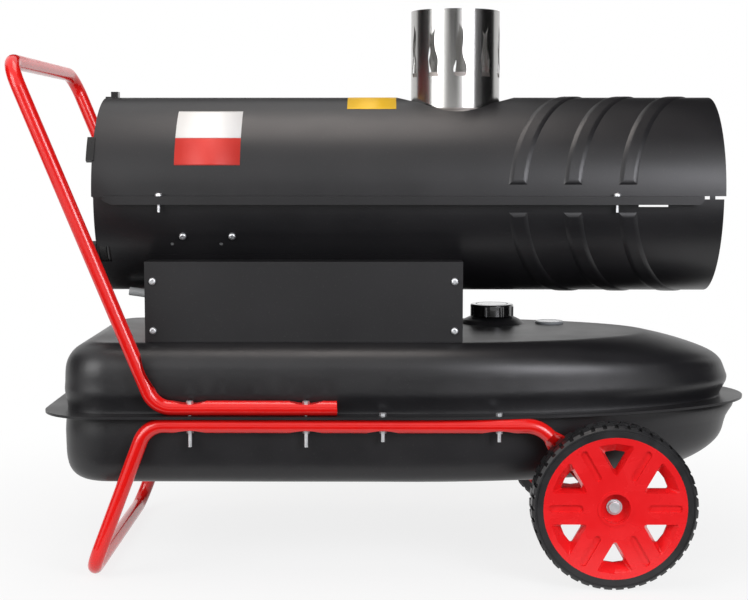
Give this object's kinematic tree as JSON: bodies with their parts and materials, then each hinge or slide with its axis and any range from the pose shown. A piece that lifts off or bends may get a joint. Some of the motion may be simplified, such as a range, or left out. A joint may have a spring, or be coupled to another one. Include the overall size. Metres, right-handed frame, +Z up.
{
  "type": "forced air heater",
  "caption": "Wheeled oil-fired forced air heater with a flue: black drum over a seamed tank, red handle, red leg frame and red spoked wheels",
  "frame": {"origin": "on the floor, at the middle of the bounding box's base", "axes": "+X from the air inlet towards the hot-air outlet, +Y towards the side with the controls, +Z up"},
  "size_m": [0.969, 0.481, 0.732],
  "materials": {
    "black_coat": "satin black powder coat",
    "red_coat": "gloss red powder coat",
    "red_plastic": "semi-gloss moulded plastic",
    "black_plastic": "moulded plastic",
    "grey_plastic": "matte moulded plastic",
    "clear_lens": "clear polycarbonate",
    "tyre_rubber": "solid rubber",
    "black_rubber": "rubber hose",
    "zinc_steel": "bright zinc plate",
    "bright_steel": "ground steel",
    "stainless": "polished stainless",
    "heat_steel": "heat-resisting steel, brushed",
    "cast_aluminium": "as cast",
    "lamination": "stacked laminations, varnished",
    "brass": "turned brass",
    "ceramic": "glazed ceramic",
    "circuit_board": "glass-epoxy board with components"
  },
  "bodies": {
    "base": {"tank_upper": "black_coat", "tank_lower": "black_coat", "filler_neck": "black_coat", "gauge_body": "black_plastic", "gauge_lens": "clear_lens", "drain_plug": "zinc_steel", "fuel_pickup": "zinc_steel", "fuel_filter": "clear_lens", "fuel_line": "black_rubber", "air_hose": "black_rubber", "handle": "red_coat", "frame_tube": "red_coat", "frame_bolts": "zinc_steel", "frame_nuts": "zinc_steel", "axle": "zinc_steel", "axle_spacers": "zinc_steel", "axle_retainers": "zinc_steel", "upper_shell": "black_coat", "lower_shell": "black_coat", "seam_screws": "zinc_steel", "shell_screws": "zinc_steel", "flue_sleeve": "stainless", "fan_guard": "black_coat", "guard_clips": "black_plastic", "motor_bracket": "zinc_steel", "motor_housing": "cast_aluminium", "motor_end_cap": "cast_aluminium", "motor_stator": "lamination", "pump_body": "cast_aluminium", "filter_cover": "black_plastic", "burner_head": "heat_steel", "nozzle": "brass", "electrodes": "ceramic", "combustion_chamber": "heat_steel", "heat_exchanger": "heat_steel", "chamber_feet": "heat_steel", "box_tray": "black_coat", "box_panel": "black_coat", "control_panel": "black_coat", "panel_screws": "zinc_steel", "cord_gland": "grey_plastic", "switch_housing": "black_plastic", "thermostat_body": "black_plastic", "reset_housing": "black_plastic", "control_board": "circuit_board", "ignition_transformer": "black_plastic"},
    "rotor": {"motor_shaft": "bright_steel", "motor_rotor": "lamination", "fan": "cast_aluminium", "pump_rotor": "bright_steel"},
    "wheel_near": {"rim_near": "red_plastic", "tyre_near": "tyre_rubber"},
    "wheel_far": {"rim_far": "red_plastic", "tyre_far": "tyre_rubber"},
    "fuel_cap": {"fuel_cap": "black_plastic"},
    "gauge_float": {"gauge_float": "black_plastic"},
    "gauge_pointer": {"gauge_pointer": "red_plastic"},
    "power_rocker": {"power_rocker": "red_plastic"},
    "thermostat_knob": {"thermostat_knob": "black_plastic"},
    "reset_button": {"reset_button": "red_plastic"}
  },
  "joints": [
    {"name": "rotor_spin", "type": "hinge", "parent": "base", "child": "rotor", "pos_m": [-0.25, 0, 0.486], "axis": [1, 0, 0], "continuous": true},
    {"name": "wheel_near_spin", "type": "hinge", "parent": "base", "child": "wheel_near", "pos_m": [0.278, -0.2175, 0.1035], "axis": [0, 1, 0], "continuous": true},
    {"name": "wheel_far_spin", "type": "hinge", "parent": "base", "child": "wheel_far", "pos_m": [0.278, 0.2175, 0.1035], "axis": [0, 1, 0], "continuous": true},
    {"name": "fuel_cap_lift", "type": "slide", "parent": "base", "child": "fuel_cap", "axis": [0, 0, 1], "range_m": [0, 0.035]},
    {"name": "gauge_float_rise", "type": "slide", "parent": "base", "child": "gauge_float", "axis": [0, 0, 1], "range_m": [0, 0.125]},
    {"name": "gauge_pointer_turn", "type": "hinge", "parent": "base", "child": "gauge_pointer", "pos_m": [0.227, 0.08, 0.301], "axis": [0, 0, -1], "range_deg": [0, 240]},
    {"name": "power_rocker_tilt", "type": "hinge", "parent": "base", "child": "power_rocker", "pos_m": [-0.2465, 0.141, 0.352], "axis": [1, 0, 0], "range_deg": [-20, 0]},
    {"name": "thermostat_knob_turn", "type": "hinge", "parent": "base", "child": "thermostat_knob", "pos_m": [-0.1665, 0.148, 0.352], "axis": [0, -1, 0], "range_deg": [0, 270]},
    {"name": "reset_button_press", "type": "slide", "parent": "base", "child": "reset_button", "axis": [0, -1, 0], "range_m": [0, 0.003], "stiffness_N_per_m": 400}
  ],
  "couplings": [
    {"joint": "gauge_pointer_turn", "follows": "gauge_float_rise", "rad_per_m": 33.5}
  ]
}
